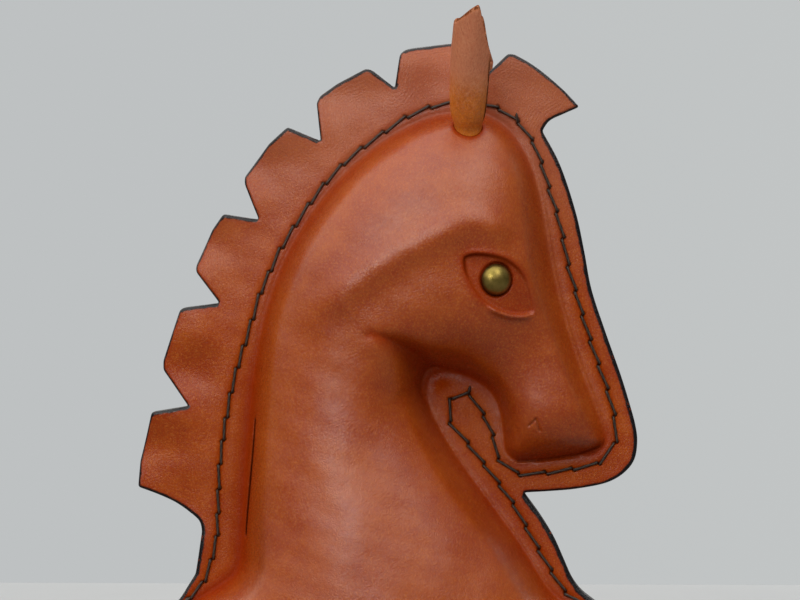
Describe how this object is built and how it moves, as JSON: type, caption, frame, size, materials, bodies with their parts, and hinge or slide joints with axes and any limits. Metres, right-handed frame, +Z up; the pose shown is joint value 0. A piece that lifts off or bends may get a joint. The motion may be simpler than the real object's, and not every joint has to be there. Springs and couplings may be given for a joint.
{
  "type": "moulded leather pony head",
  "caption": "Free-standing pony head and neck of two wet-moulded leather shells saddle-stitched in a flat flange with a cut mane, brass stud eyes and rolled ears that turn.",
  "frame": {"origin": "centre of the underside of the sole", "axes": "+Z up, +X towards the nose, Y across; the seam between the two shells lies in Y=0 and the pony's right side faces -Y"},
  "size_m": [0.1497, 0.0974, 0.193],
  "materials": {
    "head_leather": "wet-moulded vegetable-tanned leather, orange-brown antique dye, semi-gloss wax finish, black burnished edges",
    "ear_leather": "rolled vegetable-tanned leather, redder at the tip, semi-gloss",
    "lining_leather": "undyed leather washer, matt",
    "sole_leather": "firm sole leather with black burnished edge",
    "waxed_thread": "black-brown waxed linen thread, twisted",
    "aged_brass": "domed cap, aged olive-gold, satin",
    "board_wood": "thin birch board"
  },
  "bodies": {
    "head": {"right_panel": "head_leather", "left_panel": "head_leather", "seam_thread_a": "waxed_thread", "seam_thread_b": "waxed_thread", "right_ear_keeper": "lining_leather", "left_ear_keeper": "lining_leather", "right_eye_cap": "aged_brass", "left_eye_cap": "aged_brass", "right_eye_post": "aged_brass", "left_eye_post": "aged_brass", "sole": "sole_leather", "foot_board": "board_wood", "sole_thread_a": "waxed_thread", "sole_thread_b": "waxed_thread"},
    "ear_right": {"right_ear": "ear_leather"},
    "ear_left": {"left_ear": "ear_leather"}
  },
  "joints": [
    {"name": "ear_right_turn", "type": "hinge", "parent": "head", "child": "ear_right", "pos_m": [0.0241, -0.01297, 0.1571], "axis": [0.05, -0.3799, 0.9237], "range_deg": [-15, 15]},
    {"name": "ear_left_turn", "type": "hinge", "parent": "head", "child": "ear_left", "pos_m": [0.0241, 0.01297, 0.1571], "axis": [0.05, 0.3799, 0.9237], "range_deg": [-15, 15]}
  ]
}
